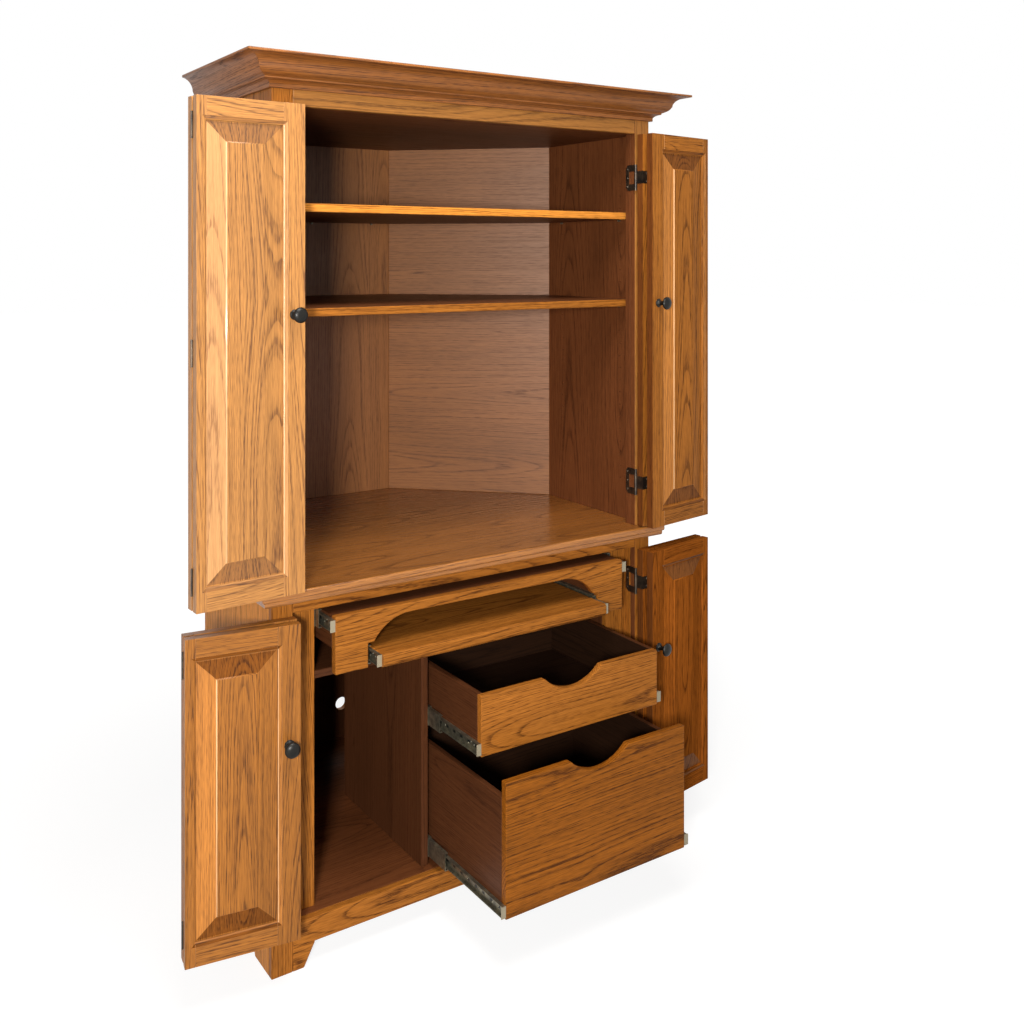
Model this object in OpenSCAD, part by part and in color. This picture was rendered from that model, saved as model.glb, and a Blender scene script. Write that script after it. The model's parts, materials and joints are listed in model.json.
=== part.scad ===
// Corner computer armoire in stained oak: a hutch standing on a desk base, with
// four pairs of folding doors, two drawers, a keyboard pull-out and its tray.
// X runs left to right, the front faces -Y, Z is up. The origin lies on the floor,
// under the middle of the whole piece as it stands open.

/* [Case] */
// Width of the face frames, outer edge to outer edge
case_w = 1092; // [1060:1:1160]
// Depth of the straight sides, from the face frames to the corner walls
side_d = 450; // [430:1:480]
// Depth of the case, from the face frames to the back
case_d = 825; // [800:1:850]
// Height from the floor to the top of the crown
total_h = 2032; // [1990:1:2080]
// Height from the floor to the top of the desk top
desk_h = 856; // [850:1:880]
// Thickness of sides, walls, backs and floors
board_t = 18; // [16:0.5:19]

/* [Face frames] */
// Thickness of both face frames
frame_t = 20; // [18:0.5:22]
// Width of the upright stiles
stile_w = 50; // [45:1:56]
// Width of the rail under the lower doors
low_rail_w = 55; // [45:1:65]
// Width of the rail over the lower doors
mid_rail_w = 29; // [25:1:34]
// Width of the rail that shows between the hutch doors and the crown
hutch_rail_w = 36; // [30:1:44]
// Depth of the hinge cleats glued behind the stiles
cleat_d = 20; // [20:0.5:24]
// Glue line between two boards of one frame, crown or box
glue = 0.1; // [0.05:0.05:0.2]

/* [Feet] */
// Height of the bracket feet
foot_h = 51; // [40:1:60]
// Width of the bracket beside a stile, at the floor
bracket_low = 27; // [20:1:40]
// Width of the bracket beside a stile, at the rail
bracket_high = 54; // [48:1:70]
// Length of the feet along a side, at the floor
side_foot = 100; // [80:1:120]
// Width and depth of the two back feet
back_foot = 60; // [50:1:70]

/* [Desk top] */
// Thickness of the desk top
top_t = 30; // [26:1:34]
// How far the desk top stands out past the face frame and the sides
top_over = 32; // [26:1:38]
// Height of the stepped lower edge of the desk top
step_h = 12; // [8:1:14]
// How far the stepped lower edge is set back
step_in = 6; // [3:1:8]

/* [Crown] */
// Height of the crown moulding
crown_h = 70; // [64:1:80]
// How far the crown stands out at its top
crown_over = 84; // [80:1:92]
// Thickness of the lip at the top of the crown
crown_lip = 6; // [4:1:8]
// Width of the narrow edge of the lip over the cove
crown_edge = 4; // [3:0.5:6]
// How far the foot of the crown stands out
crown_foot = 8; // [6:1:10]
// How far the step over the foot stands out
crown_step = 25; // [20:1:30]
// Height of that step above the lower edge of the crown
crown_step_h = 18; // [14:1:21]
// How far the bead under the cove stands out
crown_bead = 46; // [38:1:52]
// Height of the bead above the lower edge of the crown
crown_bead_h = 38; // [32:1:44]
// How far the face frame and sides stop below the top of the crown
crown_stand = 12; // [6:1:20]

/* [Shelves] */
// Thickness of the two hutch shelves
shelf_t = 20; // [18:1:22]
// Setback of the front edge of a shelf from the face of the frame
shelf_front = 55; // [50:1:70]
// Gap between a shelf and the walls round it
shelf_gap = 1; // [0.5:0.25:2]
// Radius of the shelf pins
pin_r = 2.5; // [2:0.25:3]
// Running gap round a shelf pin in its hole
pin_gap = 0.1; // [0.05:0.05:0.2]
// Depth of the shelf pin holes
pin_hole = 11; // [9:0.5:12]
// Length of a shelf pin outside its hole
pin_out = 8; // [6:0.5:9]
// Distance between rows of pin holes
pin_pitch = 34.5; // [32:0.5:35]
// Height of the first row of pin holes above the desk top
pin_first = 110.5; // [90:0.5:120]
// Number of rows of pin holes
pin_rows = 27; // [23:1:27]
// Row that carries the lower shelf, counted from 0
low_shelf_row = 14; // [10:1:15]
// Row that carries the upper shelf, counted from 0
high_shelf_row = 21; // [18:1:22]
// Distance of the front column of holes from the face of the frame
pin_front = 102; // [90:1:120]
// Distance of the rear column of holes from the face of the frame
pin_rear = 373; // [340:1:390]
// Distance of the pins in the back from the centre
pin_back_x = 100; // [80:1:120]

/* [Doors] */
// Thickness of a door leaf
leaf_t = 20; // [18:0.5:21]
// Gap above and below a door leaf
leaf_gap_z = 3; // [2:0.5:4]
// Gap between a leaf and the hinge side of its opening
hinge_gap = 3; // [2.8:0.1:4]
// Gap between the two leaves of a pair when closed
fold_gap = 2; // [1.5:0.5:3]
// Gap between the two pairs when closed
meet_gap = 6; // [5:0.5:8]
// Width of the top and bottom rails of a leaf, and of its outer stile
leaf_wide = 50; // [44:1:56]
// Width of the leaf stile at the fold
leaf_narrow = 22; // [20:1:28]
// Width of the bead round the inside of a leaf's frame
stick_w = 9; // [6:0.5:11]
// Depth of the bead at its inner edge
stick_d = 5.5; // [4:0.25:5.75]
// Depth of the small step at the outer edge of the bead
stick_quirk = 1.2; // [0.6:0.1:1.6]
// Thickness of the tongue round a raised panel
tongue_t = 6; // [5:0.5:7]
// How far the tongue sits in its groove
tongue_in = 8; // [6:0.5:10]
// Gap on each side of the tongue in its groove
tongue_gap = 0.2; // [0.1:0.05:0.4]
// Free room in the groove beyond the tongue
groove_gap = 1; // [0.5:0.5:2]
// Width of the sloped border of a raised panel
bevel_w = 40; // [32:1:46]
// How far the raised field lies behind the face of the leaf
field_back = 0.5; // [0.5:0.5:2]
// How far an upper left leaf stands open, in degrees
open_up_left = 176; // [170:1:180]
// How far the other leaves stand open, in degrees
open_other = 187; // [180:1:188]
// How far the second leaf of the upper left pair is folded onto the first, in degrees
fold_up_left = 179; // [174:0.5:179]
// How far the second leaf of the other pairs is folded onto the first, in degrees
fold_other = 178; // [174:0.5:179]

/* [Door hinges] */
// Height of a frame hinge
hinge_h = 70; // [60:1:76]
// Height of the middle knuckle of a frame hinge
hinge_mid_h = 34; // [28:1:38]
// Radius of the frame hinge knuckles
knuckle_r = 4; // [3.5:0.25:4.5]
// Distance of the frame hinge axis in front of the face frame
hinge_out = 5; // [5:0.25:6]
// Thickness of the hinge plates
plate_t = 1.2; // [1:0.1:1.3]
// Length of the frame plate into the opening
plate_d = 36; // [30:1:38]
// Width of the strip that joins the two arms of the frame plate
plate_strip = 12; // [8:1:16]
// Length of the corners cut off the frame plate
plate_clip = 8; // [4:1:11]
// Length of the leaf plate along the inner face of the leaf
leaf_plate_w = 22; // [16:1:30]
// Radius of the hinge pins
hinge_pin_r = 1.6; // [1.4:0.1:2]
// Running gap round a hinge pin and between knuckles
hinge_play = 0.1; // [0.05:0.05:0.15]
// Distance from the end of an upper leaf to its frame hinges
hinge_in_high = 117; // [100:1:140]
// Distance from the end of a lower leaf to its frame hinges
hinge_in_low = 88; // [80:1:120]
// Height of a fold hinge between two leaves
fold_h = 57; // [50:1:64]
// Radius of the fold hinge knuckles
fold_r = 2.5; // [2.3:0.1:2.6]
// Distance of the fold hinge axis behind the inner face of the leaves
fold_out = 3; // [3:0.25:4]
// Radius of the fold hinge pins
fold_pin_r = 1; // [0.8:0.1:1.3]
// Width of a fold hinge plate
fold_plate_w = 15; // [12:1:18]
// Distance from the end of a leaf to the outer fold hinges
fold_in = 60; // [50:1:80]
// Height of a leaf from which a third fold hinge goes in the middle
third_hinge_h = 800; // [700:10:1000]

/* [Knobs] */
// Radius of the knob head
knob_r = 17; // [14:0.5:18]
// How far a knob stands out from its leaf
knob_out = 37; // [30:0.5:42]
// Height of the upper knobs above the floor
knob_up_z = 1465; // [1300:5:1600]
// Height of the lower knobs above the floor
knob_low_z = 535; // [400:5:650]

/* [Base inside] */
// Clear width between the fillers on both sides of the base
filler_gap = 854; // [820:1:880]
// Distance from the centre to the right face of the divider
divider_x = 129; // [100:1:150]
// Distance from the face of the frame to the back edge of the divider
divider_back = 475; // [470:1:490]
// Gap between the shelf over the drawers and the keyboard pull-out above it
bay_shelf_drop = 16; // [8:1:20]
// Setback of the shelf over the drawers from the fillers
bay_shelf_in = 6; // [3:1:12]
// Radius of the cable hole in the base back
cable_r = 19; // [15:1:25]
// Height of the cable hole
cable_z = 210; // [180:5:400]

/* [Slides] */
// Thickness of a slide, from the wall to the box
slide_t = 12.7; // [12.7:0.1:13]
// Height of a slide
slide_h = 45; // [43:0.5:46]
// Height of the member on the box
slide_in_h = 26; // [24:0.5:28]
// Distance from the middle of a slide to the near edge of its box
slide_edge = 18; // [16:0.5:19.5]
// Sheet thickness of the slide members
slide_sheet = 1.2; // [1:0.1:1.4]
// Gap between nested members
slide_play = 0.5; // [0.4:0.1:0.7]
// Gap between the bent front end of a member and the members it covers when shut
slide_end_gap = 0.8; // [0.6:0.1:1.5]
// Share of a box's travel by which the middle members are out
middle_share = 0.25; // [0:0.05:1]
// How much shorter the cabinet's drawer slide members are than the drawers' own
slide_short = 20; // [10:1:30]
// How much shorter the outer members are on the pull-out and the tray
pull_short = 10; // [6:1:20]
// Length of the drawer slides
slide_len = 450; // [435:1:455]
// Length of the pull-out slides
pull_slide_len = 400; // [380:1:420]
// Length of the tray slides
tray_slide_len = 300; // [280:1:320]

/* [Drawers] */
// Thickness of the drawer fronts
front_t = 18; // [16:0.5:20]
// Thickness of the drawer sides and backs
drawer_wall = 14; // [12:0.5:16]
// Thickness of the drawer bottoms
bottom_t = 6; // [4:0.5:8]
// Height of a drawer bottom above the lower edge of its sides
bottom_up = 8; // [6:0.5:12]
// Gap between the base floor and the file drawer
file_up = 23; // [16:1:28]
// How far the file drawer sides stop below its front
file_side_drop = 38; // [30:1:45]
// Gap between the file drawer front and the upper drawer front
drawer_gap = 18; // [12:1:26]
// Gap between the upper drawer front and the shelf above it
upper_drop = 34; // [24:1:38]
// Height of the upper drawer front
upper_h = 139; // [130:1:145]
// Width of the finger scoops
scoop_w = 170; // [150:1:200]
// Depth of the finger scoops
scoop_d = 36; // [30:1:42]
// How far the upper drawer is pulled out
upper_out = 223; // [0:1:400]
// How far the file drawer is pulled out
file_out = 324; // [0:1:400]

/* [Keyboard pull-out] */
// Gap between the apron and the desk top above it
apron_drop = 40; // [36:1:46]
// Height of the apron
apron_h = 130; // [126:1:134]
// Thickness of the apron
apron_t = 20; // [18:0.5:22]
// Width of each apron leg
apron_leg = 82; // [76:1:90]
// Height of the bar over the arch
apron_bar = 22; // [18:1:26]
// Height of the inner edges of the apron legs
apron_leg_h = 56; // [50:1:60]
// Width of the small step over each apron leg
arch_step = 15; // [10:1:20]
// Radius of the arch corners
arch_r = 110; // [100:1:120]
// Depth of the board behind the apron
pull_board_d = 400; // [360:1:410]
// How far the board lies below the top of the apron
pull_board_drop = 2; // [1:1:4]
// Height of the outer sides under the board
pull_side_h = 55; // [50:1:60]
// How far the pull-out is pulled out
pull_out = 85; // [0:1:200]
// Thickness of the tray board
tray_t = 18; // [16:0.5:20]
// Height of the tray nosing
nosing_h = 30; // [26:1:32]
// Depth of the tray nosing
nosing_d = 25; // [20:1:30]
// Radius of the rounded nosing edges
nosing_r = 8; // [5:0.5:10]
// Height of the underside of the tray nosing above the lower edge of the apron
tray_up = 12; // [8:1:16]
// Depth of the tray, nosing and board
tray_d = 300; // [270:1:310]
// How far the tray is pulled out past the apron
tray_out = 50; // [0:1:150]

/* [Hidden] */

// Colours of the finishes
oak = [0.66, 0.36, 0.14];
oak_dark = [0.50, 0.26, 0.11];
bronze = [0.13, 0.11, 0.10];
zinc = [0.66, 0.66, 0.63];

// The plan of the case
half = case_w / 2;
wall_sum = half + side_d;
miter = sqrt(2);
base_h = desk_h - top_t;
low_open_z = foot_h + low_rail_w;
low_open_top = base_h - mid_rail_w;
hutch_open_top = total_h - crown_h - hutch_rail_w;
hutch_open_h = hutch_open_top - desk_h;
hutch_h = total_h - crown_stand;
open_x = half - stile_w;
in_x = half - board_t;
in_sum = wall_sum - board_t * miter;
in_back = case_d - board_t;
filler_y = frame_t + cleat_d;
filler_x = filler_gap / 2;

// The file drawer reaches furthest forward and the back furthest back
front_reach = file_out - filler_y;
place_y = -(case_d - front_reach) / 2;

// The doors, in the closed position
leaf_w = (open_x - hinge_gap - fold_gap - meet_gap / 2) / 2;
axis_a = [-open_x + hinge_gap / 2, -hinge_out];
axis_b = [-open_x + hinge_gap + leaf_w + fold_gap / 2, leaf_t + fold_out];
leaf_a_x = -open_x + hinge_gap;
leaf_b_x = leaf_a_x + leaf_w + fold_gap;
up_z = desk_h + leaf_gap_z;
up_h = hutch_open_h - 2 * leaf_gap_z;
low_z = low_open_z + leaf_gap_z;
low_h = low_open_top - low_open_z - 2 * leaf_gap_z;
groove_d = tongue_in + groove_gap;

// Knuckles of the frame hinges
mid_z0 = -hinge_mid_h / 2;
end_h = (hinge_h - hinge_mid_h) / 2;

// The drawers and the pull-out hang one below the other under the desk top
apron_z = base_h - apron_drop - apron_h;
tray_z = apron_z + tray_up;
bay_shelf_z = apron_z - bay_shelf_drop - board_t;
upper_z = bay_shelf_z - upper_drop - upper_h;
file_z = low_open_z + file_up;
file_h = upper_z - drawer_gap - file_z;
box_l = -divider_x + slide_t;
box_r = filler_x - slide_t;
box_mid = (box_l + box_r) / 2;
scoop_r = (scoop_w * scoop_w / 4 + scoop_d * scoop_d) / (2 * scoop_d);
upper_slide_z = upper_z + slide_edge;
file_slide_z = file_z + slide_edge;
apron_x = filler_x - slide_t;
leg_x = apron_x - apron_leg;
arch_top = apron_z + apron_h - apron_bar;
arch_low = apron_z + apron_leg_h;
arch_x = leg_x - arch_step - sqrt(arch_r * arch_r - pow(arch_r - (arch_top - arch_low), 2));
board_z = apron_z + apron_h - pull_board_drop - board_t;
pull_slide_z = board_z + board_t - slide_edge;
tray_x = leg_x - slide_t;
tray_top = tray_z + nosing_h;
tray_slide_z = tray_z + nosing_h / 2;
pull_y = filler_y - pull_out;
tray_y = pull_y - tray_out;

function hinge_zs(z, h, d) = [z + d, z + h - d];
function fold_zs(z, h) =
  h > third_hinge_h ? [z + fold_in, z + h / 2, z + h - fold_in] : [z + fold_in, z + h - fold_in];

// Corners of the plan, set in from the outer faces, from front right round to front left
function plan(inset, front) =
  let (x = half - inset, s = wall_sum - inset * miter, b = case_d - inset)
  [[x, front], [x, s - x], [s - b, b], [b - s, b], [-x, s - x], [-x, front]];

// Shifts everything from the face frame's own place to the origin
module place() { translate([0, place_y, 0]) children(); }

module block(x0, x1, y0, y1, z0, z1) {
  translate([x0, y0, z0]) cube([x1 - x0, y1 - y0, z1 - z0]);
}

module both_sides() {
  children();
  mirror([1, 0, 0]) children();
}

module plate(points, z0, z1) {
  translate([0, 0, z0]) linear_extrude(height = z1 - z0) polygon(points);
}

// One upright panel of the plan, mitred to its neighbours
module wall(i, z0, z1) {
  outer = plan(0, frame_t);
  inner = plan(board_t, frame_t);
  plate([outer[i], outer[i + 1], inner[i + 1], inner[i]], z0, z1);
}

// Base

module base_face_frame() color(oak) place() {
  both_sides() block(open_x, half, 0, frame_t, 0, base_h);
  block(-open_x + glue, open_x - glue, 0, frame_t, foot_h, low_open_z);
  block(-open_x + glue, open_x - glue, 0, frame_t, low_open_top, base_h);
}

module base_sides() color(oak) place() both_sides() difference() {
  wall(0, 0, base_h);
  taper = bracket_high - bracket_low;
  translate([half - board_t - 1, 0, 0]) rotate([90, 0, 90]) linear_extrude(height = board_t + 2)
    polygon([
      [side_foot, -1], [side_foot, 0], [side_foot + taper, foot_h],
      [side_d - side_foot - taper, foot_h], [side_d - side_foot, 0], [side_d - side_foot, -1]
    ]);
}

module base_corner_walls() color(oak) place() both_sides() wall(1, foot_h, base_h);

module base_back() color(oak) place() difference() {
  wall(2, foot_h, base_h);
  translate([0, case_d + 1, cable_z]) rotate([90, 0, 0])
    cylinder(r = cable_r, h = board_t + 2, $fn = 64);
}

module base_floor() color(oak_dark) place()
  plate(plan(board_t, frame_t), low_open_z - board_t, low_open_z);

module base_feet() color(oak) place() {
  both_sides() translate([-open_x, frame_t, 0]) rotate([90, 0, 0])
    linear_extrude(height = frame_t)
      polygon([[0, 0], [bracket_low, 0], [bracket_high, foot_h], [0, foot_h]]);
  both_sides() {
    corner = plan(board_t, 0)[2];
    block(corner[0] - back_foot, corner[0], corner[1] - back_foot, corner[1],
          0, low_open_z - board_t);
  }
}

module base_fillers() color(oak) place() both_sides() {
  block(open_x, in_x, frame_t, filler_y - glue, low_open_z, base_h);
  block(filler_x, in_x, filler_y, filler_y + board_t, low_open_z, base_h);
}

module base_partitions() color(oak_dark) place() both_sides() {
  far = in_sum - filler_x - board_t - 0.5;
  block(filler_x, filler_x + board_t, filler_y + board_t, far, low_open_z, base_h);
}

module base_divider() color(oak_dark) place()
  block(-divider_x - board_t, -divider_x, filler_y, divider_back, low_open_z, bay_shelf_z);

module bay_shelf() color(oak_dark) place()
  block(-filler_x, filler_x, filler_y + bay_shelf_in, divider_back,
        bay_shelf_z, bay_shelf_z + board_t);

// The desk top follows the walls at the back and stands out in front and at the sides
function top_plan(over) =
  let (x = half + over, y = -over)
  [[x, y], [x, wall_sum - x], [half - case_d + side_d, case_d],
   [-(half - case_d + side_d), case_d], [-x, wall_sum - x], [-x, y]];

module desk_top() color(oak) place() {
  union() {
    plate(top_plan(top_over - step_in), base_h, base_h + step_h);
    plate(top_plan(top_over), base_h + step_h, desk_h);
  }
}

// Hutch

module hutch_face_frame() color(oak) place() {
  both_sides() block(open_x, half, 0, frame_t, desk_h, hutch_h);
  block(-open_x + glue, open_x - glue, 0, frame_t, hutch_open_top, hutch_h);
}

function pin_z(row) = desk_h + pin_first + row * pin_pitch;

module hutch_sides() color(oak_dark) place() both_sides() difference() {
  wall(0, desk_h, hutch_h);
  for (row = [0 : pin_rows - 1], y = [pin_front, pin_rear])
    translate([in_x - 1, y, pin_z(row)]) rotate([0, 90, 0])
      cylinder(r = pin_r + pin_gap, h = pin_hole + 1, $fn = 24);
}

module hutch_corner_walls() color(oak_dark) place() both_sides() wall(1, desk_h, hutch_h);

module hutch_back() color(oak_dark) place() difference() {
  wall(2, desk_h, hutch_h);
  for (row = [low_shelf_row, high_shelf_row], x = [-pin_back_x, pin_back_x])
    translate([x, in_back - 1, pin_z(row)]) rotate([-90, 0, 0])
      cylinder(r = pin_r + pin_gap, h = pin_hole + 1, $fn = 24);
}

module hutch_ceiling() color(oak_dark) place()
  plate(plan(board_t, frame_t), hutch_open_top, hutch_open_top + board_t);

module hutch_cleats() color(oak) place() both_sides()
  block(open_x, in_x, frame_t, filler_y, desk_h, hutch_open_top);

// Crown: a lip, a cove drawn as an arc, a rounded bead and a small cove over a flat foot
cove_steps = 10;
small_cove = [[0, 0.5], [0.24, 0.75], [0.55, 0.9], [0.82, 0.97], [1, 1]];
bead_shape = [[0, 0.17], [0.38, 0.35], [0.6, 0.48], [0.78, 0.65], [0.9, 0.86], [1, 1]];
crown_profile = let (
    top = crown_over, low = crown_foot, lip_z = crown_h - crown_lip, cove_x = top - crown_edge,
    rx = cove_x - crown_bead, rz = lip_z - crown_bead_h,
    bead_dx = crown_bead - crown_step, bead_dz = crown_bead_h - crown_step_h)
  concat(
    [[0, 0], [low, 0]],
    [for (p = small_cove) [low + (crown_step - low) * p[0], crown_step_h * p[1]]],
    [for (p = bead_shape) [crown_step + bead_dx * p[0], crown_step_h + bead_dz * p[1]]],
    [for (i = [1 : cove_steps - 1]) let (a = 90 * i / cove_steps)
      [crown_bead + rx * (1 - cos(a)), crown_bead_h + rz * sin(a)]],
    [[cove_x, lip_z], [top, lip_z], [top, crown_h], [0, crown_h]]);

module crown_run(length) {
  translate([-length / 2, 0, total_h - crown_h]) rotate([90, 0, 90])
    linear_extrude(height = length) polygon([for (p = crown_profile) [-p[0], p[1]]]);
}

module crown() color(oak) place() {
  reach = half + crown_over + 10;
  far = wall_sum + crown_over;
  intersection() {
    crown_run(2 * reach);
    plate([[-half - reach + glue, -reach], [half + reach - glue, -reach], [0, half - glue]],
          0, total_h + 1);
  }
  both_sides() intersection() {
    translate([half, 0, 0]) rotate([0, 0, 90]) crown_run(2 * far);
    plate([[half, 0], [half + reach, -reach], [wall_sum + reach, -reach], [half, side_d]],
          0, total_h + 1);
  }
}

// Shelves and their pins

module shelf(row) {
  z = pin_z(row) + pin_r;
  plate(plan(board_t + shelf_gap, shelf_front), z, z + shelf_t);
}

module upper_shelf() color(oak_dark) place() shelf(high_shelf_row);

module lower_shelf() color(oak_dark) place() shelf(low_shelf_row);

module shelf_pins() color(zinc) place()
  for (row = [low_shelf_row, high_shelf_row]) {
    both_sides() for (y = [pin_front, pin_rear])
      translate([in_x - pin_out, y, pin_z(row)]) rotate([0, 90, 0])
        cylinder(r = pin_r, h = pin_out + pin_hole - pin_gap, $fn = 24);
    for (x = [-pin_back_x, pin_back_x])
      translate([x, in_back - pin_out, pin_z(row)]) rotate([-90, 0, 0])
        cylinder(r = pin_r, h = pin_out + pin_hole - pin_gap, $fn = 24);
  }

// Door hinges: a forked plate inside the stile, and a plate that wraps the leaf's edge

module tube(x, y, z, r, h, hole) {
  translate([x, y, z]) difference() {
    cylinder(r = r, h = h, $fn = 32);
    if (hole > 0) translate([0, 0, -1]) cylinder(r = hole, h = h + 2, $fn = 24);
  }
}

module frame_hinge(z) {
  a = axis_a;
  top = z + hinge_h / 2;
  wall_x = -open_x;
  // The two arms and the strip that joins them lie on the inner edge of the stile
  difference() {
    translate([wall_x, 0, z]) rotate([90, 0, 90]) linear_extrude(height = plate_t)
      polygon([
        [0.5, -hinge_h / 2], [plate_d - plate_clip, -hinge_h / 2],
        [plate_d, plate_clip - hinge_h / 2], [plate_d, hinge_h / 2 - plate_clip],
        [plate_d - plate_clip, hinge_h / 2], [0.5, hinge_h / 2]
      ]);
    block(wall_x - 1, wall_x + plate_t + 1, 0, plate_d - plate_strip,
          z + mid_z0 - 0.5, z - mid_z0 + 0.5);
  }
  for (k = [z - hinge_h / 2, top - end_h])
    difference() {
      union() {
        tube(a[0], a[1], k, knuckle_r, end_h - hinge_play, 0);
        block(wall_x, wall_x + plate_t, a[1], 0.6, k, k + end_h - hinge_play);
      }
      translate([a[0], a[1], k - 1]) cylinder(r = hinge_pin_r + hinge_play, h = end_h + 2, $fn = 24);
    }
  translate([a[0], a[1], z - hinge_h / 2]) cylinder(r = hinge_pin_r, h = hinge_h, $fn = 24);
}

module frame_hinges() color(bronze) place() both_sides()
  for (z = concat(hinge_zs(up_z, up_h, hinge_in_high), hinge_zs(low_z, low_h, hinge_in_low)))
    frame_hinge(z);

// The half of a frame hinge on leaf A, in the closed position
module leaf_hinge(z) {
  a = axis_a;
  x = leaf_a_x;
  h = hinge_mid_h - 2 * hinge_play;
  z0 = z - h / 2;
  difference() {
    union() {
      tube(a[0], a[1], z0, knuckle_r, h, 0);
      block(x - plate_t, x, a[1], leaf_t + plate_t, z0, z0 + h);
    }
    translate([a[0], a[1], z0 - 1]) cylinder(r = hinge_pin_r + hinge_play, h = h + 2, $fn = 24);
  }
  block(x - plate_t, x + leaf_plate_w, leaf_t, leaf_t + plate_t, z0, z0 + h);
}

// One half of a fold hinge; side is -1 on leaf A and 1 on leaf B
module fold_half(z, side) {
  b = axis_b;
  third = fold_h / 3;
  ks = side < 0 ? [z - fold_h / 2, z + fold_h / 6] : [z - fold_h / 6];
  edge = b[0] + side * fold_gap / 2;
  for (k = ks) difference() {
    union() {
      tube(b[0], b[1], k + hinge_play, fold_r, third - 2 * hinge_play, 0);
      block(min(b[0], b[0] + side * 4), max(b[0], b[0] + side * 4),
            leaf_t, leaf_t + plate_t, k + hinge_play, k + third - hinge_play);
    }
    translate([b[0], b[1], k - 1]) cylinder(r = fold_pin_r + hinge_play, h = third + 2, $fn = 24);
  }
  block(min(edge + side * 2, edge + side * fold_plate_w),
        max(edge + side * 2, edge + side * fold_plate_w),
        leaf_t, leaf_t + plate_t, z - fold_h / 2, z + fold_h / 2);
  if (side < 0)
    translate([b[0], b[1], z - fold_h / 2]) cylinder(r = fold_pin_r, h = fold_h, $fn = 24);
}

// Door leaves

// A frame of two stiles and two rails, with a raised panel in its groove
module leaf(x, z, h, left_w, right_w) {
  in0 = left_w;
  in1 = leaf_w - right_w;
  t0 = (leaf_t - tongue_t) / 2;
  translate([x, 0, z]) {
    difference() {
      union() {
        block(0, in0, 0, leaf_t, 0, h);
        block(in1, leaf_w, 0, leaf_t, 0, h);
        block(in0 + glue, in1 - glue, 0, leaf_t, 0, leaf_wide);
        block(in0 + glue, in1 - glue, 0, leaf_t, h - leaf_wide, h);
      }
      block(in0 - groove_d, in1 + groove_d, t0, t0 + tongue_t, leaf_wide - groove_d,
            h - leaf_wide + groove_d);
      sticking(in0, in1, leaf_wide, h - leaf_wide);
    }
    raised_panel(in0 - tongue_in, in1 + tongue_in, leaf_wide - tongue_in,
                 h - leaf_wide + tongue_in, t0);
  }
}

// The bead round the inside of a leaf's frame: distance into the frame, and depth
bead_steps = 4;
stick = [for (i = [0 : bead_steps]) let (a = 90 * i / bead_steps)
  [stick_w * (1 - sin(a)), stick_d - (stick_d - stick_quirk) * cos(a)]];

// The cut that leaves the bead, mitred by two crossing profiles
module sticking(x0, x1, z0, z1) {
  w = stick_w;
  back = [for (i = [0 : bead_steps]) stick[bead_steps - i]];
  intersection() {
    translate([0, 0, z0 - w]) linear_extrude(height = z1 - z0 + 2 * w)
      polygon(concat([[x0 - w, -1]], [for (p = stick) [x0 - p[0], p[1]]],
                     [for (p = back) [x1 + p[0], p[1]]], [[x1 + w, -1]]));
    translate([x0 - w, 0, 0]) rotate([90, 0, 90]) linear_extrude(height = x1 - x0 + 2 * w)
      polygon(concat([[-1, z0 - w]], [for (p = stick) [p[1], z0 - p[0]]],
                     [for (p = back) [p[1], z1 + p[0]]], [[-1, z1 + w]]));
  }
}

// The sloped border comes from two crossing profiles
module raised_panel(x0, x1, z0, z1, t0) {
  face = t0 + tongue_gap;
  back = t0 + tongue_t - tongue_gap;
  lip = tongue_in + 2;
  edge = lip + bevel_w;
  intersection() {
    translate([0, 0, z0]) linear_extrude(height = z1 - z0)
      polygon([
        [x0, face], [x0 + lip, face], [x0 + edge, field_back],
        [x1 - edge, field_back], [x1 - lip, face], [x1, face], [x1, back], [x0, back]
      ]);
    translate([x0, 0, 0]) rotate([90, 0, 90]) linear_extrude(height = x1 - x0)
      polygon([
        [face, z0], [face, z0 + lip], [field_back, z0 + edge],
        [field_back, z1 - edge], [face, z1 - lip], [face, z1], [back, z1], [back, z0]
      ]);
  }
}

// Turns a closed left leaf A, and all that it carries, to its open place
module swing_a(open) {
  translate([axis_a[0], axis_a[1], 0]) rotate([0, 0, -open])
    translate([-axis_a[0], -axis_a[1], 0]) children();
}

// Folds a closed left leaf B onto leaf A, then swings it with leaf A
module swing_b(open, fold) {
  swing_a(open) translate([axis_b[0], axis_b[1], 0]) rotate([0, 0, fold])
    translate([-axis_b[0], -axis_b[1], 0]) children();
}

module side_of(right) { mirror([right ? 1 : 0, 0, 0]) children(); }

module leaf_a(right, open, z, h) {
  color(oak) place() side_of(right) swing_a(open)
    leaf(leaf_a_x, z, h, leaf_wide, leaf_narrow);
}

module leaf_b(right, open, fold, z, h) {
  color(oak) place() side_of(right) swing_b(open, fold)
    leaf(leaf_b_x, z, h, leaf_narrow, leaf_wide);
}

module hinges_a(right, open, z, h, inset) {
  color(bronze) place() side_of(right) swing_a(open) {
    for (k = hinge_zs(z, h, inset)) leaf_hinge(k);
    for (k = fold_zs(z, h)) fold_half(k, -1);
  }
}

module hinges_b(right, open, fold, z, h) {
  color(bronze) place() side_of(right) swing_b(open, fold)
    for (k = fold_zs(z, h)) fold_half(k, 1);
}

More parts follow.
